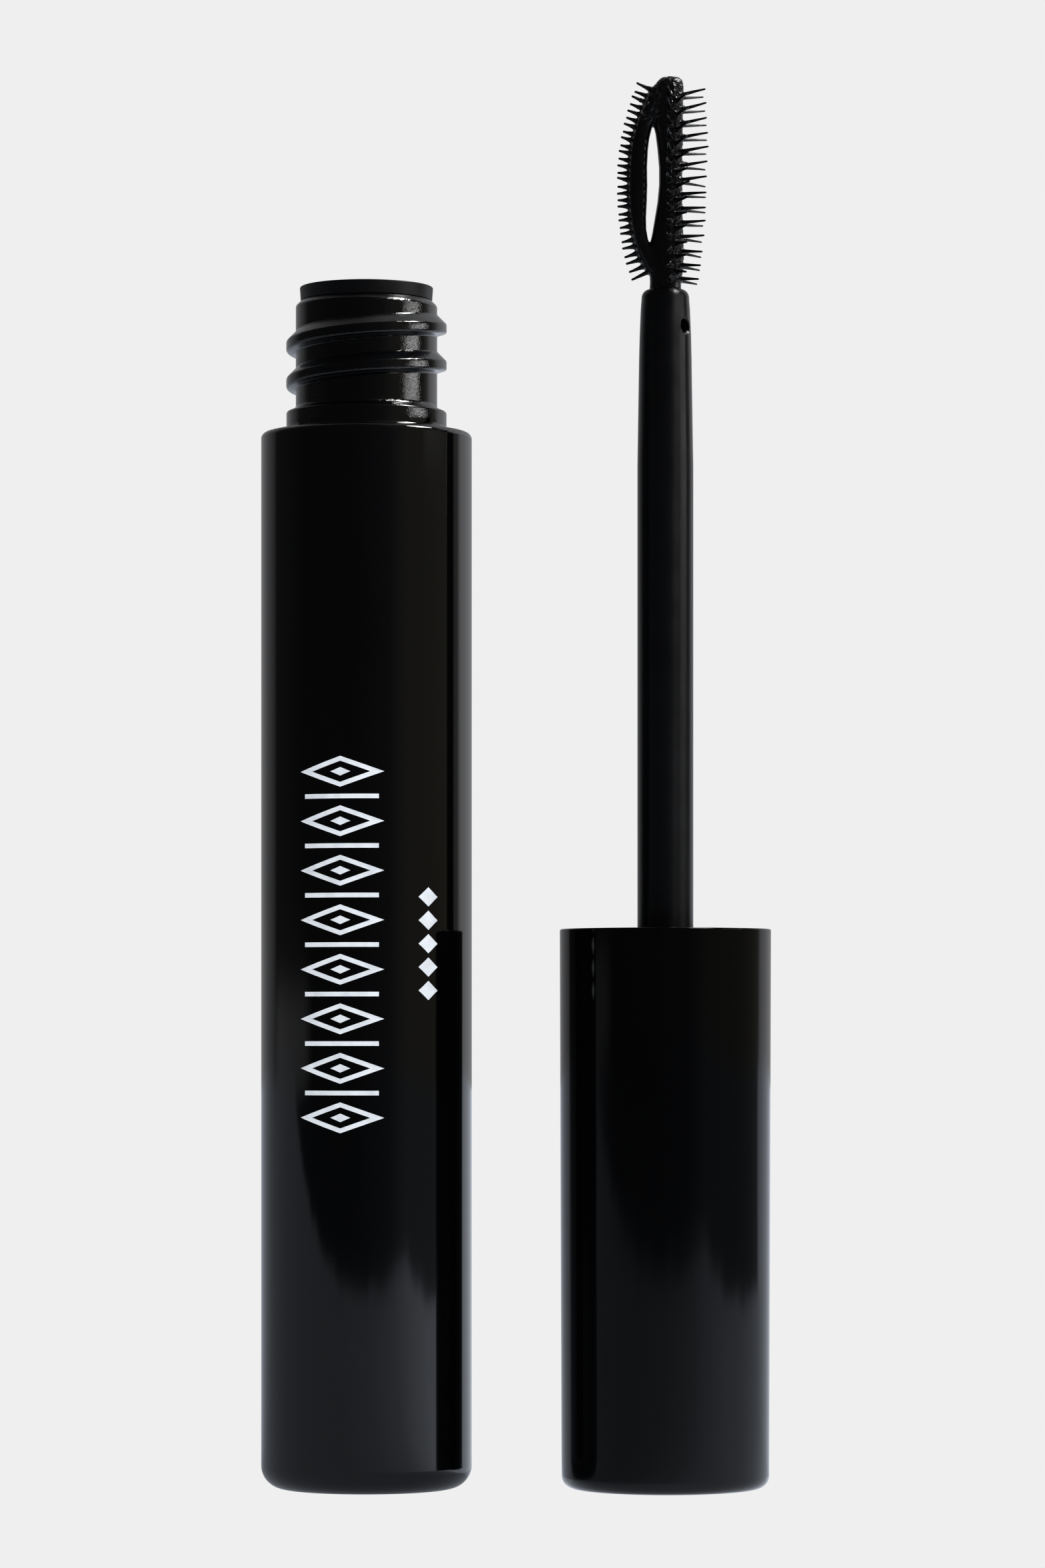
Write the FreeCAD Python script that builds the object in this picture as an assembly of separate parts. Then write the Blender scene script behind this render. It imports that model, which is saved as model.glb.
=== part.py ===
import FreeCAD, Part
import math
import os

# A mascara tube, opened. The bottle stands on its base with its neck bare, and the
# applicator stands beside it upside down, on the closed end of its cap, stem and brush up.
# Millimetres. +Z is up, X runs from the bottle to the applicator, and the origin is the
# middle of the bottle's foot.
#
# Everything on the applicator is drawn in its screwed-on position, on the bottle's axis,
# so that thread, neck and stem share one set of heights. turned_over() then carries it to
# where it stands: half a turn about a line parallel to Y.

V = FreeCAD.Vector

# ---- Overall ----
SPACING = 22.7            # bottle axis to applicator axis
CLOSED_HEIGHT = 122.6     # whole pack, screwed shut

# ---- Bottle ----
BODY_R = 8.0
SHOULDER_Z = 80.05
SHOULDER_ROUND = 0.46
BASE_ROUND = 1.75
FOOT_INNER_R = 5.4
PUSH_UP = 0.4             # depth of the recess inside the foot ring
COLLAR_R = 6.08
COLLAR_TOP_Z = 81.62
NECK_R = 5.37
NECK_FOOT_Z = 81.9
NECK_TOP_Z = 90.08
NECK_MOUTH_R = 4.95       # outer edge of the top land
NECK_BORE_R = 4.2
CAVITY_R = 6.4
CAVITY_FLOOR_Z = 4.0
CAVITY_TOP_Z = 75.0
BORE_FOOT_Z = 77.8

# ---- Thread: single start, right hand ----
PITCH = 2.8
THREAD_CREST_R = 6.09
THREAD_CREST_W = 0.71
THREAD_AT_X_Z = 87.97     # height of the crest's middle where it crosses +X
THREAD_TOP_DEG = 75.0
THREAD_END_DEG = -618.0
THREAD_FADE_DEG = 34.0
THREAD_STEP_DEG = 11.0
LOAD_FLANK = 0.2 / 0.72   # rise of the lower flank over its depth
CREST_ROUND = 0.24
ROOT_ROUND = 0.3
THREAD_PLAY = 0.08

# ---- Wiper ----
FLANGE_R = 4.99
FLANGE_TOP_R = 5.06
FLANGE_T = 1.02
SLEEVE_R = 4.18
SLEEVE_BORE_R = 3.45
ORIFICE_R = 2.2
WIPER_BEAD_Z = 86.6

# ---- Paste ----
PASTE_TOP_Z = 70.0
WELL_R = 4.1
WELL_FLOOR_Z = 13.6

# ---- Cap ----
CAP_LENGTH = 42.4
CAP_RIM_R = 8.02
CAP_END_R = 7.88
CAP_END_ROUND = 0.95
CAP_BORE_R = 7.0
CAP_END_WALL = 1.7
LINER_R = 6.97
LINER_BORE_R = 6.2
LINER_RIDGE_R = 5.5
LINER_MOUTH_Z = 80.45
LINER_CEILING_Z = 92.18
WEB_T = 1.6
HUB_R = 3.4
HUB_TOP_Z = 112.0
RIB_COUNT = 6
RIB_T = 0.9

# ---- Sealing washer ----
WASHER_R = 5.95
WASHER_BORE_R = 2.2
WASHER_T = 1.0

# ---- Stem ----
STEM_R = 2.125
TAIL_R = 1.98
TAIL_LENGTH = 16.0
STEM_END_Z = 31.64        # screwed-on height of the end that carries the brush
SOCKET_R = 1.0
SOCKET_DEPTH = 6.2
WINDOW_R = 0.525
WINDOW_Z = 34.5
WINDOW_DEG = -37.0        # bearing of the window once the applicator stands inverted

# ---- Brush, on its own axis as it stands: x to the right, z from the table ----
SHANK_R = 1.24
ROOT_R = 0.95
ROOT_LENGTH = 5.9
FAN_X = 0.4               # the right-hand spikes radiate from this line,
FAN_START = 0.60          # each one beginning this far out from it
FAN_FOOT_Z = 91.8
FAN_TOP_Z = 105.5
FAN_RINGS = 14
FAN_SPIKE_R = (0.19, 0.07)    # where it begins and at the point
COMB_SPIKES = 29
COMB_SPIKE_R = (0.235, 0.06)
COMB_FOOT_Z = 92.5
COMB_TOP_Z = 105.9

# The core's two branches as level ovals: (z, left x, right x, half depth)
RIGHT_BRANCH = [
    (91.5, -1.0, 1.15, 1.15), (92.2, -1.1, 1.3, 1.2), (93.2, -1.25, 1.46, 1.25),
    (94.3, -1.2, 1.42, 1.25), (95.2, -1.0, 1.3, 1.2), (96.4, -0.8, 1.2, 1.15),
    (97.6, -0.6, 1.18, 1.12), (98.9, -0.48, 1.15, 1.1), (100.2, -0.48, 1.15, 1.1),
    (101.6, -0.62, 1.19, 1.1), (102.8, -0.75, 1.22, 1.1), (103.6, -1.0, 1.2, 1.1),
    (104.6, -1.0, 1.22, 1.1), (105.6, -0.92, 1.27, 1.1), (106.3, -0.87, 1.32, 1.02),
    (106.85, -0.5, 1.2, 0.8), (107.17, -0.05, 0.7, 0.4),
]
LEFT_BRANCH = [
    (91.9, -1.2, 0.2, 0.85), (92.5, -1.6, 0.0, 0.85), (93.4, -1.95, -0.3, 0.85),
    (94.0, -2.13, -0.9, 0.83), (94.7, -2.3, -1.3, 0.8), (95.5, -2.47, -1.42, 0.8),
    (96.4, -2.6, -1.42, 0.8), (97.6, -2.7, -1.36, 0.8), (98.9, -2.7, -1.32, 0.8),
    (100.2, -2.67, -1.36, 0.8), (101.5, -2.57, -1.28, 0.8), (102.4, -2.43, -1.18, 0.8),
    (103.3, -2.15, -0.95, 0.82), (103.9, -1.98, -0.6, 0.85), (104.8, -1.66, -0.2, 0.9),
    (105.6, -1.35, 0.1, 0.85), (106.3, -0.92, 0.35, 0.65),
]
# The eye slot, up its left side and down its right: (x, z)
SLOT = [
    (-1.19, 94.08), (-1.4, 94.3), (-1.5, 94.9), (-1.5, 96.2), (-1.43, 97.6), (-1.4, 98.9),
    (-1.43, 100.2), (-1.36, 101.6), (-1.26, 102.7), (-1.1, 103.35), (-0.92, 103.58),
    (-0.77, 103.4), (-0.64, 102.8), (-0.57, 101.8), (-0.41, 100.3), (-0.4, 98.9),
    (-0.5, 97.7), (-0.68, 96.5), (-0.83, 95.3), (-0.98, 94.4),
]
# How far the spikes reach from the brush axis, by height
FAN_REACH = [(91.6, 2.5), (93.8, 2.78), (96.1, 2.92), (98.3, 3.1), (101.6, 3.2),
             (103.8, 3.18), (105.9, 2.94)]
COMB_REACH = [(91.3, 2.4), (92.2, 2.75), (93.2, 3.1), (94.4, 3.35), (96.0, 3.55),
              (97.8, 3.68), (100.1, 3.68), (101.2, 3.55), (102.5, 3.3), (103.6, 3.0),
              (104.7, 2.6), (105.7, 2.2), (106.5, 1.8)]
COMB_MIDDLE = [(92.5, 0.95), (94.0, 1.55), (95.5, 1.95), (97.6, 2.05), (100.2, 2.0),
               (102.4, 1.8), (103.9, 1.3), (105.0, 0.95), (105.9, 0.6)]
COMB_TILT = [(92.5, -27.0), (94.5, -14.0), (96.0, -5.0), (98.0, 0.0), (100.0, 8.0),
             (102.0, 16.0), (105.9, 24.0)]


def turned_over(shape):
    """Carries a screwed-on piece to where it stands beside the bottle."""
    moved = shape.copy()
    pivot = V(SPACING / 2, 0, CLOSED_HEIGHT / 2)
    moved.rotate(pivot, V(0, 1, 0), 180)
    return moved


def outline(points):
    """A closed wire in the XZ plane from (r, z, rounding) corners."""
    n = len(points)
    cuts = []
    for i in range(n):
        r, z, rounding = points[i]
        here = V(r, 0, z)
        before = V(points[i - 1][0], 0, points[i - 1][1])
        after = V(points[(i + 1) % n][0], 0, points[(i + 1) % n][1])
        if rounding <= 0:
            cuts.append((here, None, here))
            continue
        u = (before - here).normalize()
        w = (after - here).normalize()
        half = u.getAngle(w) / 2
        back = rounding / math.tan(half)
        inward = (u + w).normalize()
        centre = here + inward * (rounding / math.sin(half))
        cuts.append((here + u * back, centre - inward * rounding, here + w * back))
    edges = []
    for i in range(n):
        first, middle, last = cuts[i]
        if middle is not None:
            edges.append(Part.Arc(first, middle, last).toShape())
        start = cuts[(i + 1) % n][0]
        if last.distanceToPoint(start) > 1e-6:
            edges.append(Part.LineSegment(last, start).toShape())
    return Part.Wire(edges)


def turned(points):
    """A solid of revolution about Z from (r, z, rounding) corners."""
    face = Part.Face(outline(points))
    solid = face.revolve(V(0, 0, 0), V(0, 0, 1), 360)
    return solid if solid.Volume > 0 else solid.reversed()


def rod(radius, z0, z1):
    return Part.makeCylinder(radius, z1 - z0, V(0, 0, z0))


def thread_z(deg):
    """Height of the middle of the bottle thread's crest at a bearing."""
    return THREAD_AT_X_Z + PITCH * deg / 360


def section(deg, corners):
    """A closed section of a thread, from (r, z, rounding) corners, stood up at a bearing."""
    wire = outline(corners)
    wire.rotate(V(0, 0, 0), V(0, 0, 1), deg)
    return wire


def fade(deg, low, high, over):
    """0 at a thread's two ends, rising smoothly to 1 along its length."""
    near = min(deg - low, high - deg) / over
    near = max(0.0, min(1.0, near))
    return near * near * (3 - 2 * near)


def helix(low, high, corners_at):
    """A thread ridge lofted through its sections from one bearing to another."""
    count = int(math.ceil((high - low) / THREAD_STEP_DEG))
    wires = []
    for i in range(count + 1):
        deg = low + (high - low) * i / count
        wires.append(section(deg, corners_at(deg)))
    solid = Part.makeLoft(wires, True, False)
    return solid if solid.Volume > 0 else solid.reversed()


def neck_thread_corners(deg):
    """A ridge with a steep load flank below, a 45 degree flank above, and soft corners."""
    share = fade(deg, THREAD_END_DEG, THREAD_TOP_DEG, THREAD_FADE_DEG)
    root = NECK_R - 0.02
    depth = 0.06 + (THREAD_CREST_R - root - 0.06) * share
    scale = depth / (THREAD_CREST_R - root)
    crest = root + depth
    half = THREAD_CREST_W / 2 * (0.6 + 0.4 * scale)
    mid = thread_z(deg)
    low = mid - half - depth * LOAD_FLANK
    high = mid + half + depth
    spread = 0.35 * scale
    return [
        (root - 0.4, low - spread, 0),
        (root, low - spread, 0),
        (root, low, ROOT_ROUND * 0.7 * scale),
        (crest, mid - half, CREST_ROUND * 0.9 * scale),
        (crest, mid + half, CREST_ROUND * scale),
        (root, high, ROOT_ROUND * scale),
        (root, high + spread, 0),
        (root - 0.4, high + spread, 0),
    ]


def bottle():
    body = turned([
        (0, PUSH_UP, 0),
        (FOOT_INNER_R - 0.5, PUSH_UP, 0.3),
        (FOOT_INNER_R, 0, 0.12),
        (BODY_R, 0, BASE_ROUND),
        (BODY_R, SHOULDER_Z, SHOULDER_ROUND),
        (COLLAR_R, SHOULDER_Z, 0.5),
        (COLLAR_R, COLLAR_TOP_Z, 0.2),
        (NECK_R, NECK_FOOT_Z, 0.35),
        (NECK_R, NECK_TOP_Z - 0.42, 0.3),
        (NECK_MOUTH_R, NECK_TOP_Z, 0.06),
        (NECK_BORE_R, NECK_TOP_Z, 0.1),
        (NECK_BORE_R, BORE_FOOT_Z, 0.6),
        (CAVITY_R, CAVITY_TOP_Z, 1.2),
        (CAVITY_R, CAVITY_FLOOR_Z, 1.6),
        (0, CAVITY_FLOOR_Z, 0),
    ])
    ridge = helix(THREAD_END_DEG, THREAD_TOP_DEG, neck_thread_corners)
    groove = turned([
        (NECK_BORE_R - 0.3, WIPER_BEAD_Z - 0.45, 0),
        (NECK_BORE_R, WIPER_BEAD_Z - 0.45, 0),
        (NECK_BORE_R + 0.14, WIPER_BEAD_Z - 0.2, 0),
        (NECK_BORE_R + 0.14, WIPER_BEAD_Z + 0.2, 0),
        (NECK_BORE_R, WIPER_BEAD_Z + 0.45, 0),
        (NECK_BORE_R - 0.3, WIPER_BEAD_Z + 0.45, 0),
    ])
    return body.fuse(ridge).cut(groove).removeSplitter()


def wiper():
    top = NECK_TOP_Z + FLANGE_T
    return turned([
        (FLANGE_R, NECK_TOP_Z, 0.05),
        (FLANGE_TOP_R, top, 0.08),
        (SLEEVE_BORE_R + 0.5, top, 0.15),
        (SLEEVE_BORE_R, top - 0.75, 0.3),
        (SLEEVE_BORE_R, 84.6, 0.5),
        (ORIFICE_R, 81.5, 0.15),
        (ORIFICE_R, 80.7, 0.1),
        (ORIFICE_R + 0.3, 80.7, 0.1),
        (SLEEVE_R - 0.35, 84.0, 0.3),
        (SLEEVE_R, 84.6, 0.2),
        (SLEEVE_R, WIPER_BEAD_Z - 0.36, 0),
        (SLEEVE_R + 0.12, WIPER_BEAD_Z - 0.14, 0.03),
        (SLEEVE_R + 0.12, WIPER_BEAD_Z + 0.14, 0.03),
        (SLEEVE_R, WIPER_BEAD_Z + 0.36, 0),
        (SLEEVE_R, NECK_TOP_Z, 0),
    ])


def mascara_formula():
    r = CAVITY_R - 0.02
    floor = CAVITY_FLOOR_Z + 0.02
    return turned([
        (0, floor, 0),
        (r, floor, 1.6),
        (r, PASTE_TOP_Z, 0.3),
        (WELL_R + 0.6, PASTE_TOP_Z - 0.5, 0.3),
        (WELL_R, PASTE_TOP_Z - 1.6, 0.4),
        (WELL_R, WELL_FLOOR_Z, 2.4),
        (0, WELL_FLOOR_Z - 0.4, 0),
    ])


def outer_cap():
    rim = CLOSED_HEIGHT - CAP_LENGTH
    inside = CLOSED_HEIGHT - CAP_END_WALL
    shell = turned([
        (0, CLOSED_HEIGHT, 0),
        (CAP_END_R, CLOSED_HEIGHT, CAP_END_ROUND),
        (CAP_RIM_R, rim, 0.12),
        (CAP_BORE_R, rim, 0.15),
        (CAP_BORE_R, inside, 0.6),
        (0, inside, 0),
    ])
    return turned_over(shell)


def liner_thread_corners(deg, low, high):
    """A ridge that hooks under the bottle's: the load flanks run parallel."""
    depth = LINER_BORE_R - LINER_RIDGE_R + 0.05
    crest = LINER_BORE_R + 0.05 - depth * fade(deg, low, high, THREAD_FADE_DEG)
    foot = LINER_BORE_R + 0.3
    load = thread_z(deg) - THREAD_CREST_W / 2 - THREAD_PLAY
    at_foot = load + (foot - THREAD_CREST_R) * LOAD_FLANK
    at_crest = load + (crest - THREAD_CREST_R) * LOAD_FLANK
    return [
        (foot, at_foot, 0),
        (crest, at_crest, 0),
        (crest, at_crest - 0.5, 0),
        (foot, at_crest - 0.5 - (foot - crest), 0),
    ]


def inner_cap():
    sleeve = turned([
        (LINER_R, LINER_MOUTH_Z, 0.1),
        (LINER_R, LINER_CEILING_Z + WEB_T, 0.15),
        (HUB_R, LINER_CEILING_Z + WEB_T, 0.3),
        (HUB_R, HUB_TOP_Z, 0.3),
        (0, HUB_TOP_Z, 0),
        (0, LINER_CEILING_Z + TAIL_LENGTH + 0.4, 0),
        (TAIL_R + 0.02, LINER_CEILING_Z + TAIL_LENGTH + 0.4, 0.2),
        (TAIL_R + 0.02, LINER_CEILING_Z, 0),
        (LINER_BORE_R, LINER_CEILING_Z, 0.2),
        (LINER_BORE_R, LINER_MOUTH_Z, 0.12),
    ])
    low = -565.0
    high = -20.0
    ridge = helix(low, high, lambda deg: liner_thread_corners(deg, low, high))
    solid = sleeve.fuse(ridge)
    rib_foot = LINER_CEILING_Z + WEB_T - 0.3
    for i in range(RIB_COUNT):
        rib = Part.makeBox(
            LINER_R - 0.07 - (HUB_R - 0.4), RIB_T, HUB_TOP_Z - 1.0 - rib_foot,
            V(HUB_R - 0.4, -RIB_T / 2, rib_foot),
        )
        rib.rotate(V(0, 0, 0), V(0, 0, 1), 30 + 360 * i / RIB_COUNT)
        solid = solid.fuse(rib)
    return turned_over(solid.removeSplitter())


def sealing_washer():
    z0 = LINER_CEILING_Z - 0.02 - WASHER_T
    ring = turned([
        (WASHER_BORE_R, z0, 0.12),
        (WASHER_R, z0, 0.12),
        (WASHER_R, z0 + WASHER_T, 0.12),
        (WASHER_BORE_R, z0 + WASHER_T, 0.12),
    ])
    return turned_over(ring)


def stem():
    end = STEM_END_Z
    tail = LINER_CEILING_Z - 0.02
    bead = tail + TAIL_LENGTH * 0.5
    shaft = turned([
        (0, end + SOCKET_DEPTH, 0),
        (SOCKET_R, end + SOCKET_DEPTH, 0.2),
        (SOCKET_R, end, 0.12),
        (1.76, end, 0.62),
        (1.87, end + 1.5, 2.0),
        (1.95, end + 3.4, 2.0),
        (2.0, end + 5.4, 2.0),
        (STEM_R, end + 13.4, 8.0),
        (STEM_R, tail, 0),
        (TAIL_R, tail, 0),
        (TAIL_R, tail + TAIL_LENGTH, 0.3),
        (0, tail + TAIL_LENGTH, 0),
    ])
    keys = Part.makeBox(0.5, 2 * TAIL_R, TAIL_LENGTH * 0.4, V(-0.25, -TAIL_R, bead))
    shaft = turned_over(shaft)
    notch = turned_over(keys)
    notch = notch.cut(Part.makeCylinder(TAIL_R - 0.5, CLOSED_HEIGHT, V(SPACING, 0, 0)))
    shaft = shaft.cut(notch)
    bearing = V(math.cos(math.radians(WINDOW_DEG)), math.sin(math.radians(WINDOW_DEG)), 0)
    at = V(SPACING, 0, CLOSED_HEIGHT - WINDOW_Z)
    window = Part.makeCylinder(WINDOW_R, 3.0, at, bearing)
    flare = Part.makeCone(WINDOW_R, WINDOW_R + 0.5, 0.5, at + bearing * 1.78, bearing)
    return shaft.cut(window).cut(flare)


def branch(rows):
    """A core branch lofted through level ovals, one (z, left, right, depth) a row."""
    wires = []
    for z, left, right, depth in rows:
        points = []
        for i in range(24):
            a = 2 * math.pi * i / 24
            x = (left + right) / 2 + (right - left) / 2 * math.cos(a)
            points.append(V(x, depth * math.sin(a), z))
        spline = Part.BSplineCurve()
        spline.interpolate(points, PeriodicFlag=True)
        wires.append(Part.Wire(spline.toShape()))
    solid = Part.makeLoft(wires, True, False)
    return solid if solid.Volume > 0 else solid.reversed()


def eased(value, table):
    """Straight-line reading of a table of (key, value) pairs in rising order."""
    if value <= table[0][0]:
        return table[0][1]
    for (k0, v0), (k1, v1) in zip(table, table[1:]):
        if value <= k1:
            return v0 + (v1 - v0) * (value - k0) / (k1 - k0)
    return table[-1][1]


def spike(root, direction, length, radii):
    """One moulded spike: a tapered pin with a rounded point."""
    pin = turned([
        (0, 0, 0),
        (radii[0], 0, 0),
        (radii[1], length, radii[1] * 0.9),
        (0, length, 0),
    ])
    pin.Placement = FreeCAD.Placement(root, FreeCAD.Rotation(V(0, 0, 1), direction))
    return pin


def heading(bearing, tilt):
    a = math.radians(bearing)
    b = math.radians(tilt)
    return V(math.cos(b) * math.cos(a), math.cos(b) * math.sin(a), math.sin(b))


def fan():
    """Rings of long spikes round the straight branch; every second row sits half a ring up."""
    pins = []
    pitch = (FAN_TOP_Z - FAN_FOOT_Z) / (FAN_RINGS - 1)
    for bearing, shift in ((36, 0), (68, 0.5), (96, 0)):
        for side in (-1, 1):
            for i in range(FAN_RINGS):
                z = FAN_FOOT_Z + pitch * (i - shift)
                if z < FAN_FOOT_Z - 0.01:
                    continue
                tilt = -6 + 14 * (z - FAN_FOOT_Z) / (FAN_TOP_Z - FAN_FOOT_Z)
                reach = (eased(z, FAN_REACH) - FAN_X) / math.cos(math.radians(36))
                way = heading(bearing * side, tilt)
                root = V(FAN_X, 0, z) + way * FAN_START
                length = reach / math.cos(math.radians(tilt)) - FAN_START
                pins.append(spike(root, way, length, FAN_SPIKE_R))
    return pins


def comb():
    """Two close, staggered rows of short spikes up the bowed branch, fanned at its ends."""
    pins = []
    for i in range(COMB_SPIKES):
        z = COMB_FOOT_Z + (COMB_TOP_Z - COMB_FOOT_Z) * i / (COMB_SPIKES - 1)
        tilt = eased(z, COMB_TILT)
        middle = eased(z, COMB_MIDDLE)
        rise = math.tan(math.radians(tilt))
        reach = eased(z + rise * 1.5, COMB_REACH)
        bearing = 168 if i % 2 else 192
        way = heading(bearing, tilt)
        length = (reach - 0.1 * (i % 2) - middle) / abs(way.x)
        pins.append(spike(V(-middle, 0, z), way, length, COMB_SPIKE_R))
    return pins


def brush():
    core = branch(RIGHT_BRANCH).fuse(branch(LEFT_BRANCH))
    edge = Part.BSplineCurve()
    edge.interpolate([V(x, -2, z) for x, z in SLOT], PeriodicFlag=True)
    eye = Part.Face(Part.Wire(edge.toShape())).extrude(V(0, 4, 0))
    dimple = Part.makeSphere(0.24, V(0.85, -0.86, 106.3))
    core = core.cut(eye).cut(dimple)
    stem_end = CLOSED_HEIGHT - STEM_END_Z
    shank = rod(SHANK_R, stem_end + 0.02, 92.3)
    root = rod(ROOT_R, stem_end - ROOT_LENGTH, stem_end + 0.1)
    bearing = V(math.cos(math.radians(WINDOW_DEG)), math.sin(math.radians(WINDOW_DEG)), 0)
    nub = Part.makeCylinder(0.42, 1.35, V(0, 0, CLOSED_HEIGHT - WINDOW_Z), bearing)
    solid = core.fuse([shank, root, nub] + fan() + comb())
    solid.translate(V(SPACING, 0, 0))
    return solid


PARTS = {
    "bottle": bottle,
    "wiper": wiper,
    "mascara_formula": mascara_formula,
    "outer_cap": outer_cap,
    "inner_cap": inner_cap,
    "sealing_washer": sealing_washer,
    "stem": stem,
    "brush": brush,
}


def main():
    os.makedirs("parts", exist_ok=True)
    for name, make in PARTS.items():
        shape = make()
        solids = shape.Solids
        if len(solids) != 1 or not shape.isValid():
            print(name, "needs attention:", len(solids), "solids, valid", shape.isValid())
        solid = solids[0] if len(solids) == 1 else Part.makeCompound(solids)
        solid.exportStep("parts/" + name + ".step")
        box = solid.BoundBox
        print(
            f"{name:16s} {solid.Volume:9.2f} mm3  "
            f"x {box.XMin:.2f} {box.XMax:.2f}  y {box.YMin:.2f} {box.YMax:.2f}  "
            f"z {box.ZMin:.2f} {box.ZMax:.2f}"
        )


main()
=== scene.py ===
"""Looks for the opened mascara: bottle at the left, applicator standing on its cap."""
import math

import bmesh
import bpy
import numpy as np
from mathutils import Matrix, Vector, noise


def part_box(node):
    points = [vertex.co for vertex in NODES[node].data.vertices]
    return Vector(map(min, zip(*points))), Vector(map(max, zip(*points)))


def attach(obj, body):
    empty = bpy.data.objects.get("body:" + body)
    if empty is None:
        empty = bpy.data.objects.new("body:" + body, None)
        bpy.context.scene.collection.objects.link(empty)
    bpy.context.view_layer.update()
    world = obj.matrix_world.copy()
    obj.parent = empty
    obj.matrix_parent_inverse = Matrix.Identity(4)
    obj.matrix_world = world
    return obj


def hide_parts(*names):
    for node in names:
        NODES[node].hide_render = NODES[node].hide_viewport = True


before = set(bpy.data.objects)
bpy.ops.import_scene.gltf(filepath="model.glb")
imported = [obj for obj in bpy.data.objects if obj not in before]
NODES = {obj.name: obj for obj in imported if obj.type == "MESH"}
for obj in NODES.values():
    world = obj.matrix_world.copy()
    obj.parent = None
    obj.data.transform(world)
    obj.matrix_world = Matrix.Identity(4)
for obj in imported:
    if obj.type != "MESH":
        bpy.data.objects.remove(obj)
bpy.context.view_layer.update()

MM = 0.001


def axis_x(node):
    low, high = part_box(node)
    return (low.x + high.x) / 2


BOTTLE_X = axis_x("bottle")
CAP_X = axis_x("outer_cap")

# ------------------------------------------------------------------ node helpers


def new_material(name):
    mat = bpy.data.materials.new(name)
    mat.use_nodes = True
    tree = mat.node_tree
    shader = tree.nodes["Principled BSDF"]
    return mat, tree, shader


def add(tree, kind, **values):
    node = tree.nodes.new(kind)
    for key, value in values.items():
        if hasattr(node, key):
            setattr(node, key, value)
        else:
            node.inputs[key].default_value = value
    return node


def wire(tree, a, out, b, into):
    tree.links.new(a.outputs[out], b.inputs[into])


def coords(tree, scale=(1, 1, 1)):
    place = tree.nodes.new("ShaderNodeTexCoord")
    mapping = tree.nodes.new("ShaderNodeMapping")
    mapping.inputs["Scale"].default_value = scale
    wire(tree, place, "Object", mapping, "Vector")
    return mapping


def noise_of(tree, scale, detail=3.0, stretch=(1, 1, 1), roughness=0.5):
    mapping = coords(tree, stretch)
    node = tree.nodes.new("ShaderNodeTexNoise")
    node.inputs["Scale"].default_value = scale
    node.inputs["Detail"].default_value = detail
    node.inputs["Roughness"].default_value = roughness
    wire(tree, mapping, "Vector", node, "Vector")
    return node


def ramp(tree, source, out, stops):
    node = tree.nodes.new("ShaderNodeValToRGB")
    wire(tree, source, out, node, "Fac")
    e = node.color_ramp.elements
    for i, (at, value) in enumerate(stops):
        element = e[i] if i < 2 else e.new(at)
        element.position = at
        element.color = value if len(value) == 4 else (*value, 1)
    return node


def grey(v):
    return (v, v, v, 1)


def bump(tree, shader, layers):
    """Chains bump nodes: (height node, output, strength, distance in metres)."""
    last = None
    for source, out, strength, distance in layers:
        node = tree.nodes.new("ShaderNodeBump")
        node.inputs["Strength"].default_value = strength
        node.inputs["Distance"].default_value = distance
        wire(tree, source, out, node, "Height")
        if last:
            wire(tree, last, "Normal", node, "Normal")
        last = node
    wire(tree, last, "Normal", shader, "Normal")


# ------------------------------------------------------------------ materials


def tone_of(tree, shader, source, tint, lift):
    """Base colour drifting between a tint and a lifter shade of it."""
    light = tuple(c * lift for c in tint)
    tone = ramp(tree, source, "Fac", [(0.35, tint), (0.7, light)])
    wire(tree, tone, "Color", shader, "Base Color")


def haze_of(tree, shader, source, low, high):
    """Roughness drifting between two values."""
    haze = ramp(tree, source, "Fac", [(0.4, grey(low)), (0.75, grey(high))])
    wire(tree, haze, "Color", shader, "Roughness")


def gloss_black(name, tint, rough, ior=1.5):
    """Polished moulding: mirror-like, with a slow ripple along its length and fine haze."""
    mat, tree, shader = new_material(name)
    tone_of(tree, shader, noise_of(tree, 160, 2, (1, 1, 0.25)), tint, 1.5)
    haze_of(tree, shader, noise_of(tree, 95, 5, (1, 1, 0.6), 0.6), *rough)
    wave = noise_of(tree, 120, 1, (1, 1, 0.3))
    grain = noise_of(tree, 2600, 2)
    bump(tree, shader, [(wave, "Fac", 0.35, 2e-5), (grain, "Fac", 0.05, 2e-6)])
    shader.inputs["IOR"].default_value = ior
    return mat


NECK_FOOT_Z = 80.6 * MM
NECK_FADE = 0.3 * MM       # the coarser skin comes in over this height
NECK_PITS = 1.5e-5         # how deep its pits are, in metres


def moulded_neck(mat):
    """Above the shoulder the tool's skin is coarser, so highlights there break into specks."""
    tree = mat.node_tree
    shader = tree.nodes["Principled BSDF"]
    place = coords(tree)
    split = tree.nodes.new("ShaderNodeSeparateXYZ")
    wire(tree, place, "Vector", split, "Vector")
    above = tree.nodes.new("ShaderNodeMapRange")
    wire(tree, split, "Z", above, "Value")
    above.inputs["From Min"].default_value = NECK_FOOT_Z
    above.inputs["From Max"].default_value = NECK_FOOT_Z + NECK_FADE
    pits = noise_of(tree, 6500, 2.5, roughness=0.65)
    height = add(tree, "ShaderNodeMath", operation="MULTIPLY")
    wire(tree, pits, "Fac", height, 0)
    wire(tree, above, "Result", height, 1)
    relief = tree.nodes.new("ShaderNodeBump")
    relief.inputs["Strength"].default_value = 1.0
    relief.inputs["Distance"].default_value = NECK_PITS
    wire(tree, height, "Value", relief, "Height")
    before = shader.inputs["Normal"].links[0].from_node
    wire(tree, before, "Normal", relief, "Normal")
    wire(tree, relief, "Normal", shader, "Normal")
    return mat


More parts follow.
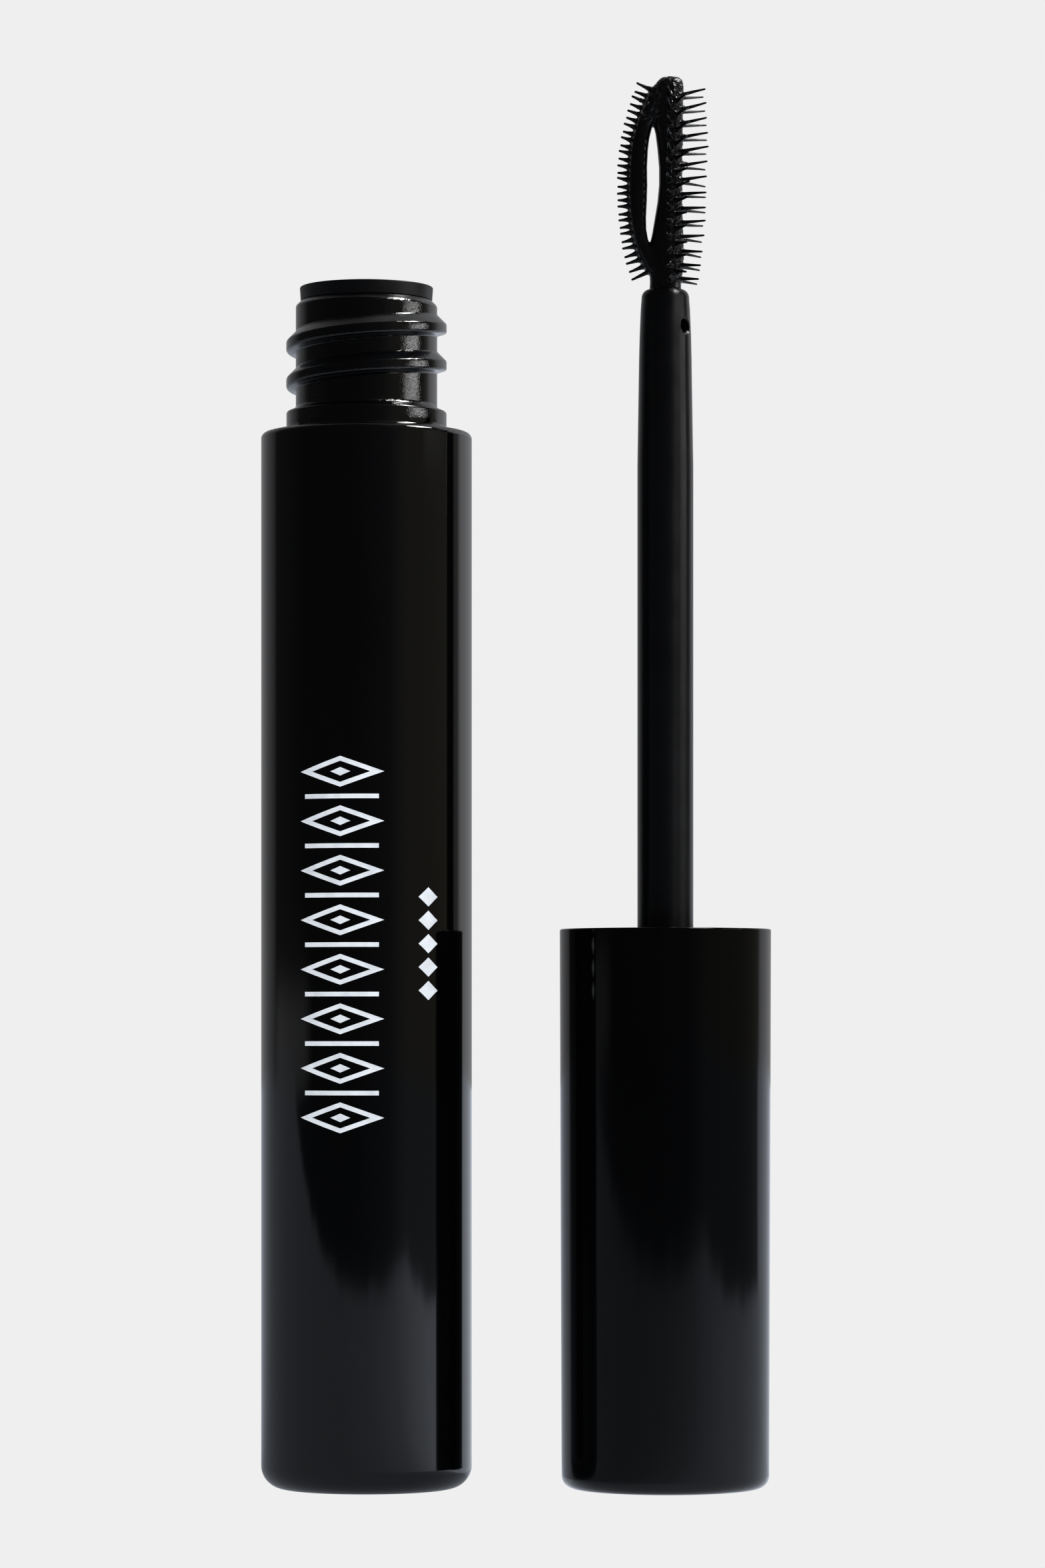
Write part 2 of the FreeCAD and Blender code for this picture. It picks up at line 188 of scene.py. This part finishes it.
def satin_black(name, tint, rough, grain_depth=6e-6, ior=1.48):
    """Spark-eroded or brushed moulding: a fine grain that spreads its highlights."""
    mat, tree, shader = new_material(name)
    tone_of(tree, shader, noise_of(tree, 220, 3), tint, 1.6)
    haze_of(tree, shader, noise_of(tree, 500, 4), *rough)
    grain = noise_of(tree, 5200, 3)
    wave = noise_of(tree, 420, 2)
    bump(tree, shader, [(wave, "Fac", 0.3, 1.5e-5), (grain, "Fac", 0.5, grain_depth)])
    shader.inputs["IOR"].default_value = ior
    return mat


STRETCH = 0.85             # how far the rod's highlights are drawn out
ALONG = 0.25               # quarter of a turn, which draws them along the rod


def turned_polish(mat):
    """Fine rings round a turned rod: its highlights stretch along the rod."""
    tree = mat.node_tree
    shader = tree.nodes["Principled BSDF"]
    round_it = tree.nodes.new("ShaderNodeTangent")
    round_it.direction_type = "RADIAL"
    round_it.axis = "Z"
    wire(tree, round_it, "Tangent", shader, "Tangent")
    shader.inputs["Anisotropic"].default_value = STRETCH
    shader.inputs["Anisotropic Rotation"].default_value = ALONG
    return mat


BLACK = (0.0006, 0.00065, 0.0008)
SOOT = (0.0005, 0.0005, 0.0006)
CHARCOAL = (0.0009, 0.0009, 0.001)
PASTE = (0.003, 0.0025, 0.0025)
RUBBER = (0.02, 0.02, 0.022)


LOOKS = {
    "bottle": moulded_neck(gloss_black("bottle_gloss", BLACK, (0.04, 0.09))),
    "outer_cap": gloss_black("cap_gloss", BLACK, (0.05, 0.1), ior=1.3),
    "wiper": satin_black("wiper_satin", SOOT, (0.4, 0.55), ior=1.35),
    "mascara_formula": gloss_black("paste_wet", PASTE, (0.12, 0.3)),
    "inner_cap": satin_black("liner_satin", BLACK, (0.35, 0.5)),
    "sealing_washer": satin_black("washer_matt", RUBBER, (0.5, 0.65)),
    "stem": turned_polish(satin_black("stem_satin", BLACK, (0.28, 0.34), 2e-6, ior=1.33)),
    "brush": satin_black("brush_elastomer", CHARCOAL, (0.22, 0.32), ior=1.38),
}
for name, mat in LOOKS.items():
    mesh = NODES[name].data
    mesh.materials.clear()
    mesh.materials.append(mat)

# ------------------------------------------------------------------ brush
# Built in millimetres about its own axis (z from the table), then scaled and moved.

# The core's two branches as level ovals: (z, left x, right x, half depth)
RIGHT_BRANCH = [
    (90.95, -1.2, 1.2, 1.1), (91.5, -1.17, 1.2, 1.1), (92.2, -1.2, 1.28, 1.14),
    (93.2, -1.25, 1.38, 1.16), (94.3, -1.2, 1.38, 1.16), (95.2, -1.0, 1.34, 1.14),
    (96.4, -0.8, 1.3, 1.12), (97.6, -0.6, 1.28, 1.1), (98.9, -0.48, 1.27, 1.08),
    (100.2, -0.48, 1.27, 1.08), (101.6, -0.6, 1.28, 1.08), (102.8, -0.75, 1.3, 1.08),
    (103.6, -0.95, 1.31, 1.08), (104.6, -0.98, 1.32, 1.08), (105.6, -0.94, 1.34, 1.05),
    (106.26, -0.87, 1.37, 0.98), (106.7, -0.66, 1.34, 0.86), (106.95, -0.42, 1.2, 0.66),
    (107.08, -0.12, 0.95, 0.4),
]
LEFT_BRANCH = [
    (91.9, -1.1, 0.2, 0.75), (92.5, -1.6, 0.0, 0.8), (93.4, -2.05, -0.3, 0.82),
    (94.0, -2.25, -0.95, 0.82), (94.7, -2.43, -1.3, 0.8), (95.5, -2.58, -1.44, 0.8),
    (96.4, -2.7, -1.46, 0.8), (97.6, -2.78, -1.4, 0.8), (98.9, -2.8, -1.36, 0.8),
    (100.2, -2.76, -1.38, 0.8), (101.5, -2.66, -1.32, 0.8), (102.4, -2.52, -1.22, 0.8),
    (103.3, -2.26, -1.0, 0.86), (103.9, -2.06, -0.6, 0.94), (104.8, -1.74, -0.1, 1.0),
    (105.6, -1.42, 0.3, 1.0), (106.2, -1.1, 0.5, 0.9), (106.5, -0.8, 0.5, 0.7),
]
FAN_X = 0.4               # the long spikes radiate from this line
FAN_FOOT_Z = 91.8
FAN_TOP_Z = 105.5
FAN_RINGS = 14
FAN_ROWS = ((36, 0), (68, 0.5), (96, 0))   # each row's bearing, and its shift in rings
FAN_TILT = (-6, 14)       # the tilt at the foot, and how much it grows to the top
FAN_SPIKE_R = (0.078, 0.155)
FAR_SIDE_THIN = 0.9
FAN_REACH = [(91.8, 2.55), (93.0, 2.7), (94.1, 2.84), (96.3, 3.0), (98.4, 3.18),
             (101.6, 3.22), (103.6, 3.18), (105.9, 2.96)]
COMB_SPIKES = 29
COMB_BEARINGS = (188, 172)
COMB_STAGGER = 0.05       # every other spike is this much shorter
COMB_SPIKE_R = (0.088, 0.18)
COMB_FOOT_Z = 92.5
COMB_TOP_Z = 105.9
COMB_REACH = [(91.3, 2.4), (92.2, 2.75), (93.2, 3.1), (94.4, 3.35), (96.0, 3.55),
              (97.8, 3.68), (100.1, 3.68), (101.2, 3.58), (102.5, 3.38), (103.6, 3.14),
              (104.7, 2.84), (105.7, 2.52), (106.5, 2.2)]
COMB_MIDDLE = [(92.5, 0.95), (94.0, 1.55), (95.5, 1.95), (97.6, 2.05), (100.2, 2.0),
               (102.4, 1.8), (103.9, 1.3), (105.0, 0.95), (105.9, 0.6)]
COMB_TILT = [(92.5, -27.0), (94.5, -14.0), (96.0, -5.0), (98.0, 0.0), (100.0, 8.0),
             (102.0, 16.0), (105.9, 24.0)]
CORE_DEPTH = 1.08         # the core's half depth, where the long spikes leave it
VOXEL = 0.06
SMOOTHING = 3
CLUMPS, KNOB_CLUMPS = 380, 26
SPIKE_SEED, CLUMP_SEED = 11, 5


def read_table(z, table):
    keys = [k for k, _ in table]
    return float(np.interp(z, keys, [v for _, v in table]))


def tube(mesh, rings):
    """Adds a closed tube through rings of points to a bmesh."""
    loops = [[mesh.verts.new(p) for p in ring] for ring in rings]
    n = len(loops[0])
    for a, b in zip(loops, loops[1:]):
        for i in range(n):
            mesh.faces.new((a[i], a[(i + 1) % n], b[(i + 1) % n], b[i]))
    mesh.faces.new(list(reversed(loops[0])))
    mesh.faces.new(loops[-1])


def oval_tube(mesh, rows, sides=36, boxy=2.4):
    """A branch of the core: its level ovals, smoothly joined and a little square."""
    table = np.array(rows)
    zs = np.arange(table[0, 0], table[-1, 0], 0.12)
    rings = []
    for z in list(zs) + [table[-1, 0]]:
        left, right, depth = (np.interp(z, table[:, 0], table[:, i]) for i in (1, 2, 3))
        ring = []
        for i in range(sides):
            a = 2 * math.pi * i / sides
            c = math.copysign(abs(math.cos(a)) ** (2 / boxy), math.cos(a))
            s = math.copysign(abs(math.sin(a)) ** (2 / boxy), math.sin(a))
            ring.append(((left + right) / 2 + (right - left) / 2 * c, depth * s, z))
        rings.append(ring)
    tube(mesh, rings)


def heading(bearing, tilt):
    a = math.radians(bearing)
    b = math.radians(tilt)
    return Vector((math.cos(b) * math.cos(a), math.cos(b) * math.sin(a), math.sin(b)))


def pin(mesh, root, way, length, radii, bend=0.0, sides=12):
    """A round spike through (share of length, radius) stations, curving up by bend."""
    way = way.normalized()
    up = Vector((0, 0, 1)) - way * way.z
    up.normalize()
    across = way.cross(up)
    rings = []
    for share, radius in radii:
        centre = root + way * (length * share) + up * (bend * share * share)
        ring = []
        for i in range(sides):
            a = 2 * math.pi * i / sides
            ring.append(centre + (up * math.cos(a) + across * math.sin(a)) * radius)
        rings.append(ring)
    tube(mesh, rings)


def spike_plan():
    """Every spike as (root, direction, length, tip radius, base radius, bend)."""
    rng = np.random.default_rng(SPIKE_SEED)
    plan = []
    pitch = (FAN_TOP_Z - FAN_FOOT_Z) / (FAN_RINGS - 1)
    front = math.radians(FAN_ROWS[0][0])
    for bearing, shift in FAN_ROWS:
        for side in (-1, 1):
            for i in range(FAN_RINGS):
                z = FAN_FOOT_Z + pitch * (i - shift)
                if z < FAN_FOOT_Z - 0.01:
                    continue
                rise = (z - FAN_FOOT_Z) / (FAN_TOP_Z - FAN_FOOT_Z)
                tilt = FAN_TILT[0] + FAN_TILT[1] * rise
                reach = (read_table(z, FAN_REACH) - FAN_X) / math.cos(front)
                way = heading(bearing * side + rng.normal(0, 1.2), tilt + rng.normal(0, 1.0))
                length = reach / math.cos(math.radians(tilt)) - abs(rng.normal(0, 0.05))
                thin = FAR_SIDE_THIN if side > 0 else 1.0
                tip, base = (r * thin for r in FAN_SPIKE_R)
                plan.append((Vector((FAN_X, 0, z)), way, length, tip, base,
                             rng.normal(0, 0.06)))
    for i in range(COMB_SPIKES):
        z = COMB_FOOT_Z + (COMB_TOP_Z - COMB_FOOT_Z) * i / (COMB_SPIKES - 1)
        tilt = read_table(z, COMB_TILT)
        middle = read_table(z, COMB_MIDDLE)
        reach = read_table(z + math.tan(math.radians(tilt)) * 1.5, COMB_REACH)
        way = heading(COMB_BEARINGS[i % 2], tilt + rng.normal(0, 0.8))
        length = (reach - COMB_STAGGER * (i % 2) - middle) / abs(way.x)
        plan.append((Vector((-middle, 0, z)), way, length, *COMB_SPIKE_R,
                     rng.normal(0, 0.03)))
    return plan


def core_surface(root, way):
    """How far along a spike the core's skin lies, to within the boss that hides it."""
    if way.x < -0.5:
        z = root.z + math.tan(math.asin(way.z)) * 0.8
        skin = read_table(z, [(r[0], -r[1]) for r in LEFT_BRANCH])
        return (skin + root.x) / abs(way.x)
    right = read_table(root.z, [(r[0], r[2]) for r in RIGHT_BRANCH])
    flat = Vector((way.x, way.y))
    flat.normalize()
    return 1 / math.hypot(flat.x / (right - FAN_X), flat.y / CORE_DEPTH)


def remeshed(bm, name, voxel, smooth):
    """The bmesh as one closed skin: voxel remesh, then a light smoothing."""
    mesh = bpy.data.meshes.new(name)
    bm.to_mesh(mesh)
    bm.free()
    obj = bpy.data.objects.new(name, mesh)
    bpy.context.scene.collection.objects.link(obj)
    shrink = obj.modifiers.new("skin", "REMESH")
    shrink.mode = "VOXEL"
    shrink.voxel_size = voxel
    relax = obj.modifiers.new("relax", "SMOOTH")
    relax.factor = 0.5
    relax.iterations = smooth
    deps = bpy.context.evaluated_depsgraph_get()
    final = bpy.data.meshes.new_from_object(obj.evaluated_get(deps))
    bpy.data.objects.remove(obj)
    bpy.data.meshes.remove(mesh)
    return final


def blob(bm, at, size, tall=1.0):
    place = Matrix.Translation(at) @ Matrix.Diagonal((1, 1, tall, 1))
    bmesh.ops.create_icosphere(bm, subdivisions=2, radius=size, matrix=place)


def clumps(bm, rng):
    """Drying paste caught between the roots of the long spikes and round the knob."""
    for _ in range(CLUMPS):
        z = rng.uniform(91.6, 106.3)
        way = heading(rng.choice((-1, 1)) * rng.uniform(15, 92), 0)
        line = Vector((FAN_X, 0, z))
        size = rng.uniform(0.06, 0.14)
        blob(bm, line + way * (core_surface(line, way) - size * 0.35), size,
             rng.uniform(0.7, 1.5))
    for _ in range(KNOB_CLUMPS):
        z = rng.uniform(103.4, 106.0)
        left = read_table(z, [(row[0], row[1]) for row in LEFT_BRANCH])
        x = rng.uniform(left + 0.3, 0.6)
        blob(bm, Vector((x, rng.choice((-1, 1)) * rng.uniform(0.84, 0.96), z)),
             rng.uniform(0.08, 0.15))


def roughen(mesh):
    """Uneven paste on the knob and down the side that carries the long spikes."""
    spots = [v.co.copy() for v in mesh.vertices]
    normals = [n.vector.copy() for n in mesh.vertex_normals]
    for i, p in enumerate(spots):
        side = min(1.0, max(0.0, (p.x - 0.05) / 0.35))
        knob = min(1.0, max(0.0, (p.z - 103.2) / 0.8))
        share = max(side, knob) * min(1.0, max(0.0, (p.z - 91.3) / 0.5))
        if share > 0:
            lumps = noise.noise(p * 4.6) * 0.055 + noise.noise(p * 11.0) * 0.03 * side
            spots[i] = p + normals[i] * (lumps * share)
    mesh.vertices.foreach_set("co", [c for p in spots for c in p])


def build_brush():
    plan = spike_plan()
    rng = np.random.default_rng(CLUMP_SEED)
    core = bmesh.new()
    oval_tube(core, RIGHT_BRANCH)
    oval_tube(core, LEFT_BRANCH, boxy=2.8)
    for root, way, length, tip, base, bend in plan:
        skin = core_surface(root, way)
        flare = base * 1.8
        stations = [(0.0, flare), (skin - 0.06, flare), (skin + 0.08, base * 1.4),
                    (skin + 0.24, base * 1.02), (skin + 0.45, base * 0.85)]
        pin(core, root, way, 1.0, stations)
    clumps(core, rng)
    skin_mesh = remeshed(core, "brush_core", VOXEL, SMOOTHING)
    roughen(skin_mesh)
    whole = bmesh.new()
    whole.from_mesh(skin_mesh)
    bpy.data.meshes.remove(skin_mesh)
    for root, way, length, tip, base, bend in plan:
        start = core_surface(root, way) - 0.05
        left = length - start
        waist = (base + tip) / 2
        stations = [(0, base), (0.25, base * 0.9), (0.5, waist), (0.75, waist * 0.3 + tip * 0.7),
                    (0.94, tip), (0.98, tip * 0.8), (1.0, tip * 0.4)]
        pin(whole, root + way * start, way, left, stations, bend)
    bmesh.ops.recalc_face_normals(whole, faces=whole.faces)
    mesh = bpy.data.meshes.new("brush_head")
    whole.to_mesh(mesh)
    whole.free()
    mesh.transform(Matrix.Translation((CAP_X, 0, 0)) @ Matrix.Scale(MM, 4))
    for face in mesh.polygons:
        face.use_smooth = True
    obj = bpy.data.objects.new("brush_head", mesh)
    bpy.context.scene.collection.objects.link(obj)
    mesh.materials.append(LOOKS["brush"])
    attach(obj, "applicator")
    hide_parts("brush")
    return obj


build_brush()

# ------------------------------------------------------------------ printed ornament
# A plain ladder of lozenges and bars in white ink. u runs round the bottle from its front.

INK = 0.02 * MM           # how far the print stands out from the bottle
LINE = 0.34               # stroke of the print; this and the rest in millimetres
COLUMN_U, COLUMN_HALF = -1.75, 3.3
COLUMN_FOOT_Z, COLUMN_PITCH, COLUMN_COUNT = 28.2, 3.69, 8
SIDE_U, SIDE_FOOT_Z, SIDE_PITCH, SIDE_COUNT = 5.15, 37.7, 1.75, 5
BOTTLE_R = (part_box("bottle")[1].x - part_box("bottle")[0].x) / 2


def band(bm, side_a, side_b, closed):
    """A thin raised strip on the bottle between two lines of (u, z) points, in mm."""
    def row(points, radius):
        verts = []
        for u, z in points:
            a = u * MM / BOTTLE_R
            verts.append(bm.verts.new((BOTTLE_X + radius * math.sin(a),
                                       -radius * math.cos(a), z * MM)))
        return verts
    out_a, out_b = row(side_a, BOTTLE_R + INK), row(side_b, BOTTLE_R + INK)
    in_a, in_b = row(side_a, BOTTLE_R - INK), row(side_b, BOTTLE_R - INK)
    n = len(side_a)
    for i in range(n if closed else n - 1):
        k = (i + 1) % n
        bm.faces.new((out_a[i], out_a[k], out_b[k], out_b[i]))
        bm.faces.new((in_a[k], in_a[i], in_b[i], in_b[k]))
        bm.faces.new((out_a[k], out_a[i], in_a[i], in_a[k]))
        bm.faces.new((out_b[i], out_b[k], in_b[k], in_b[i]))
    if not closed:
        bm.faces.new((out_a[0], out_b[0], in_b[0], in_a[0]))
        bm.faces.new((out_b[-1], out_a[-1], in_a[-1], in_b[-1]))


def lozenge_line(u, z, half_u, half_z, steps=14):
    """Points round a lozenge, evenly along its four sides."""
    corners = [(u - half_u, z), (u, z - half_z), (u + half_u, z), (u, z + half_z)]
    points = []
    for i in range(4):
        (u0, z0), (u1, z1) = corners[i], corners[(i + 1) % 4]
        points += [(u0 + (u1 - u0) * t / steps, z0 + (z1 - z0) * t / steps)
                   for t in range(steps)]
    return points


def open_lozenge(bm, u, z, half_u, half_z, line):
    shrink = line * math.hypot(half_u, half_z)
    outer = lozenge_line(u, z, half_u, half_z)
    inner = lozenge_line(u, z, half_u - shrink / half_z, half_z - shrink / half_u)
    band(bm, outer, inner, True)


def bar(bm, u0, u1, z, thick, steps=16):
    us = [u0 + (u1 - u0) * i / steps for i in range(steps + 1)]
    band(bm, [(u, z - thick / 2) for u in us], [(u, z + thick / 2) for u in us], False)


def full_lozenge(bm, u, z, half_u, half_z, steps=8):
    us = [u - half_u + 2 * half_u * i / steps for i in range(steps + 1)]
    rise = [half_z * max(0.03, 1 - abs(v - u) / half_u) for v in us]
    band(bm, [(v, z - h) for v, h in zip(us, rise)],
         [(v, z + h) for v, h in zip(us, rise)], False)


def build_ornament():
    ink, tree, shader = new_material("white_ink")
    tone = ramp(tree, noise_of(tree, 900, 4), "Fac",
                [(0.3, (0.66, 0.70, 0.74, 1)), (0.6, (0.80, 0.84, 0.88, 1))])
    wire(tree, tone, "Color", shader, "Base Color")
    haze_of(tree, shader, noise_of(tree, 1500, 3), 0.32, 0.5)
    bump(tree, shader, [(noise_of(tree, 6000, 2), "Fac", 0.4, 4e-6)])
    bm = bmesh.new()
    half_bar = COLUMN_HALF - 0.4
    for i in range(COLUMN_COUNT):
        z = COLUMN_FOOT_Z + COLUMN_PITCH * i
        open_lozenge(bm, COLUMN_U, z, COLUMN_HALF, 1.15, LINE)
        full_lozenge(bm, COLUMN_U, z, 0.75, 0.32)
        if i < COLUMN_COUNT - 1:
            bar(bm, COLUMN_U - half_bar, COLUMN_U + half_bar, z + COLUMN_PITCH / 2, LINE)
    for i in range(SIDE_COUNT):
        full_lozenge(bm, SIDE_U, SIDE_FOOT_Z + SIDE_PITCH * i, 0.85, 0.72)
    bmesh.ops.recalc_face_normals(bm, faces=bm.faces)
    mesh = bpy.data.meshes.new("printed_ornament")
    bm.to_mesh(mesh)
    bm.free()
    mesh.materials.append(ink)
    obj = bpy.data.objects.new("printed_ornament", mesh)
    bpy.context.scene.collection.objects.link(obj)
    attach(obj, "bottle_group")
    return obj


build_ornament()

# ------------------------------------------------------------------ stage

PALE = 0.863          # the pale grey of floor and backdrop, as the camera sees it


def flat(name, corners, mat):
    mesh = bpy.data.meshes.new(name)
    mesh.from_pydata(corners, [], [tuple(range(len(corners)))])
    mesh.materials.append(mat)
    obj = bpy.data.objects.new(name, mesh)
    bpy.context.scene.collection.objects.link(obj)
    return obj


def glow(name):
    mat = bpy.data.materials.new(name)
    mat.use_nodes = True
    tree = mat.node_tree
    tree.nodes.clear()
    out = tree.nodes.new("ShaderNodeOutputMaterial")
    light = tree.nodes.new("ShaderNodeEmission")
    wire(tree, light, "Emission", out, "Surface")
    return mat, tree, light


def radial(tree, place, about):
    """Nodes giving the bearing (in half turns from the viewer, + right)."""
    split = tree.nodes.new("ShaderNodeSeparateXYZ")
    wire(tree, place, "Vector", split, "Vector")
    across = add(tree, "ShaderNodeMath", operation="SUBTRACT")
    wire(tree, split, "X", across, 0)
    across.inputs[1].default_value = about
    back = add(tree, "ShaderNodeMath", operation="MULTIPLY")
    wire(tree, split, "Y", back, 0)
    back.inputs[1].default_value = -1
    turn = add(tree, "ShaderNodeMath", operation="ARCTAN2")
    wire(tree, across, "Value", turn, 0)
    wire(tree, back, "Value", turn, 1)
    share = add(tree, "ShaderNodeMapRange")
    wire(tree, turn, "Value", share, "Value")
    share.inputs["From Min"].default_value = -math.pi
    share.inputs["From Max"].default_value = math.pi
    return share


def by_bearing(tree, share, table, top):
    """A brightness table over bearings in degrees, as a colour ramp scaled by its top value."""
    stops = [((deg + 180) / 360, grey(value / top)) for deg, value in table]
    node = ramp(tree, share, "Result", stops)
    scale = add(tree, "ShaderNodeMath", operation="MULTIPLY")
    wire(tree, node, "Color", scale, 0)
    scale.inputs[1].default_value = top
    return scale


def pale_to_camera(tree, room, tint, light):
    """The camera sees the plain pale tone; reflections see the tinted room."""
    path = tree.nodes.new("ShaderNodeLightPath")
    level = tree.nodes.new("ShaderNodeMix")
    level.data_type = "FLOAT"
    wire(tree, room, "Value", level, "A")
    level.inputs["B"].default_value = PALE
    wire(tree, path, "Is Camera Ray", level, "Factor")
    wire(tree, level, "Result", light, "Strength")
    hue = tree.nodes.new("ShaderNodeMixRGB")
    wire(tree, path, "Is Camera Ray", hue, "Fac")
    wire(tree, tint, "Color", hue, "Color1")
    hue.inputs["Color2"].default_value = grey(1)
    wire(tree, hue, "Color", light, "Color")


WARM = (1.06, 1.0, 0.8)
COOL = (0.93, 1.0, 1.13)
PLAIN = (0.99, 1.0, 1.03)


def tint_by_bearing(tree, share, ahead, right):
    """A faint tint: one for most of the room, another for its right-hand wall."""
    stops = [((deg + 180) / 360, (*hue, 1)) for deg, hue in
             ((-180, ahead), (30, ahead), (45, right), (112, right), (122, ahead))]
    return ramp(tree, share, "Result", stops)


# What reflections find round the studio: (bearing from the viewer, radiance)
WALLS = [(-180, 0.38), (-143, 0.33), (-131, 0.26), (-121, 0.2), (-114, 0.05), (-90, 0.045),
         (-70, 0.03), (-12, 0.03), (25, 0.06), (46, 0.15), (108, 0.15), (120, 0.2),
         (126, 0.72), (145, 0.6), (165, 0.4), (180, 0.38)]
FLOOR = [(-180, 0.6), (-143, 0.44), (-131, 0.36), (-120, 0.31), (-30, 0.3), (0, 0.36),
         (29, 0.52), (52, 0.85), (69, 1.05), (95, 0.95), (117, 0.8), (130, 0.85),
         (180, 0.85)]
SUBJECT_X = 0.0114
EDGE_FRONT = -0.32        # how far the lit patch of floor reaches toward the viewer
EDGE_RIGHT = 0.22         # and to the right
EDGE_SOFT = 0.07
EDGE_RAGGED = 0.09
BEHIND = (0.825, 0.842)   # past this bearing, as a share of a turn, the floor has no edge
WALLS_TOP, FLOOR_TOP = 1.0, 1.2      # the brightest that each table may say
HORIZON = (0.012, 0.002)  # the far floor's glow fades out over this rise
FAR_LEFT = (-0.85, -0.97)


def smooth_between(tree, source, out, low, high):
    node = add(tree, "ShaderNodeMapRange", interpolation_type="SMOOTHSTEP")
    wire(tree, source, out, node, "Value")
    node.inputs["From Min"].default_value = low
    node.inputs["From Max"].default_value = high
    return node


def maths(tree, operation, a, b):
    """A Math node on two inputs; each is a number or a (node, output) pair."""
    node = add(tree, "ShaderNodeMath", operation=operation)
    for i, value in enumerate((a, b)):
        if isinstance(value, tuple):
            wire(tree, value[0], value[1], node, i)
        else:
            node.inputs[i].default_value = value
    return node


def mixed(tree, factor, a, b):
    node = tree.nodes.new("ShaderNodeMix")
    node.data_type = "FLOAT"
    wire(tree, factor[0], factor[1], node, "Factor")
    wire(tree, a, "Value", node, "A")
    wire(tree, b, "Value", node, "B")
    return maths(tree, "MULTIPLY", (node, "Result"), 1.0)


def floor_material():
    """Pale to the eye; to reflections it is a lit patch with a soft, slightly ragged edge."""
    mat, tree, light = glow("floor_pale")
    place = tree.nodes.new("ShaderNodeTexCoord")
    at = tree.nodes.new("ShaderNodeMapping")
    wire(tree, place, "Object", at, "Vector")
    share = radial(tree, at, SUBJECT_X)
    lit = by_bearing(tree, share, FLOOR, FLOOR_TOP)
    dark = by_bearing(tree, share, WALLS, WALLS_TOP)
    split = tree.nodes.new("ShaderNodeSeparateXYZ")
    wire(tree, at, "Vector", split, "Vector")
    ragged = tree.nodes.new("ShaderNodeTexNoise")
    ragged.inputs["Scale"].default_value = 11
    ragged.inputs["Detail"].default_value = 1.5
    wire(tree, at, "Vector", ragged, "Vector")
    push = maths(tree, "MULTIPLY", (ragged, "Fac"), EDGE_RAGGED)
    y = maths(tree, "ADD", (split, "Y"), (push, "Value"))
    x = maths(tree, "SUBTRACT", (split, "X"), (push, "Value"))
    front = smooth_between(tree, y, "Value", EDGE_FRONT, EDGE_FRONT + EDGE_SOFT)
    right = smooth_between(tree, x, "Value", EDGE_RIGHT + EDGE_SOFT, EDGE_RIGHT)
    behind = smooth_between(tree, share, "Result", *BEHIND)
    side = maths(tree, "MAXIMUM", (right, "Result"), (behind, "Result"))
    patch = maths(tree, "MULTIPLY", (front, "Result"), (side, "Value"))
    room = mixed(tree, (patch, "Value"), dark, lit)
    pale_to_camera(tree, room, tint_by_bearing(tree, share, COOL, COOL), light)
    return mat


def build_room():
    """Dark studio walls to reflections, with the far floor's glow just above the horizon."""
    world = bpy.data.worlds.new("room")
    bpy.context.scene.world = world
    world.use_nodes = True
    tree = world.node_tree
    sky = tree.nodes["Background"]
    place = tree.nodes.new("ShaderNodeTexCoord")
    at = tree.nodes.new("ShaderNodeMapping")
    wire(tree, place, "Generated", at, "Vector")
    share = radial(tree, at, 0.0)
    walls = by_bearing(tree, share, WALLS, WALLS_TOP)
    glowing = by_bearing(tree, share, FLOOR, FLOOR_TOP)
    split = tree.nodes.new("ShaderNodeSeparateXYZ")
    wire(tree, at, "Vector", split, "Vector")
    left = smooth_between(tree, split, "X", *FAR_LEFT)
    low = smooth_between(tree, split, "Z", *HORIZON)
    haze = maths(tree, "MULTIPLY", (left, "Result"), (low, "Result"))
    room = mixed(tree, (haze, "Value"), walls, glowing)
    pale_to_camera(tree, room, tint_by_bearing(tree, share, PLAIN, WARM), sky)


FLOOR_HALF = 3.0


def build_stage():
    flat("floor", [(x * FLOOR_HALF, y * FLOOR_HALF, 0) for x, y in
                   ((-1, -1), (1, -1), (1, 1), (-1, 1))], floor_material())
    build_room()


AIM_Z = 0.08               # the lights point at this height, between the two groups


def softbox(name, place, width, height, radiance):
    """An area light aimed at the neck and the top of the stem."""
    lamp = bpy.data.lights.new(name, "AREA")
    lamp.shape = "RECTANGLE"
    lamp.size = width
    lamp.size_y = height
    lamp.energy = radiance * math.pi * width * height
    obj = bpy.data.objects.new(name, lamp)
    obj.location = place
    way = Vector((SUBJECT_X, 0, AIM_Z)) - Vector(place)
    obj.rotation_euler = way.to_track_quat("-Z", "Y").to_euler()
    bpy.context.scene.collection.objects.link(obj)
    return obj


def build_camera():
    """Level and long, a little above the middle of the cap."""
    data = bpy.data.cameras.new("camera")
    data.lens = 127.0
    data.sensor_width = 36.0
    data.sensor_fit = "AUTO"
    data.shift_y = 0.159
    data.clip_start = 0.01
    data.clip_end = 20
    cam = bpy.data.objects.new("camera", data)
    cam.location = (0.01185, -0.420, 0.0345)
    cam.rotation_euler = (math.pi / 2, 0, 0)
    bpy.context.scene.collection.objects.link(cam)
    bpy.context.scene.camera = cam


build_stage()
softbox("overhead_right", (0.075, -0.008, 0.175), 0.035, 0.035, 42)
softbox("neck_strip", (0.2, -0.032, 0.109), 0.1, 0.007, 17)
fill = softbox("front_fill", (-0.05, -0.55, 0.3), 0.5, 0.5, 5.0)
fill.visible_glossy = False         # lights the ink and the matt pieces without a reflection
build_camera()
view = bpy.context.scene.view_settings
view.view_transform = "Standard"
view.look = "None"
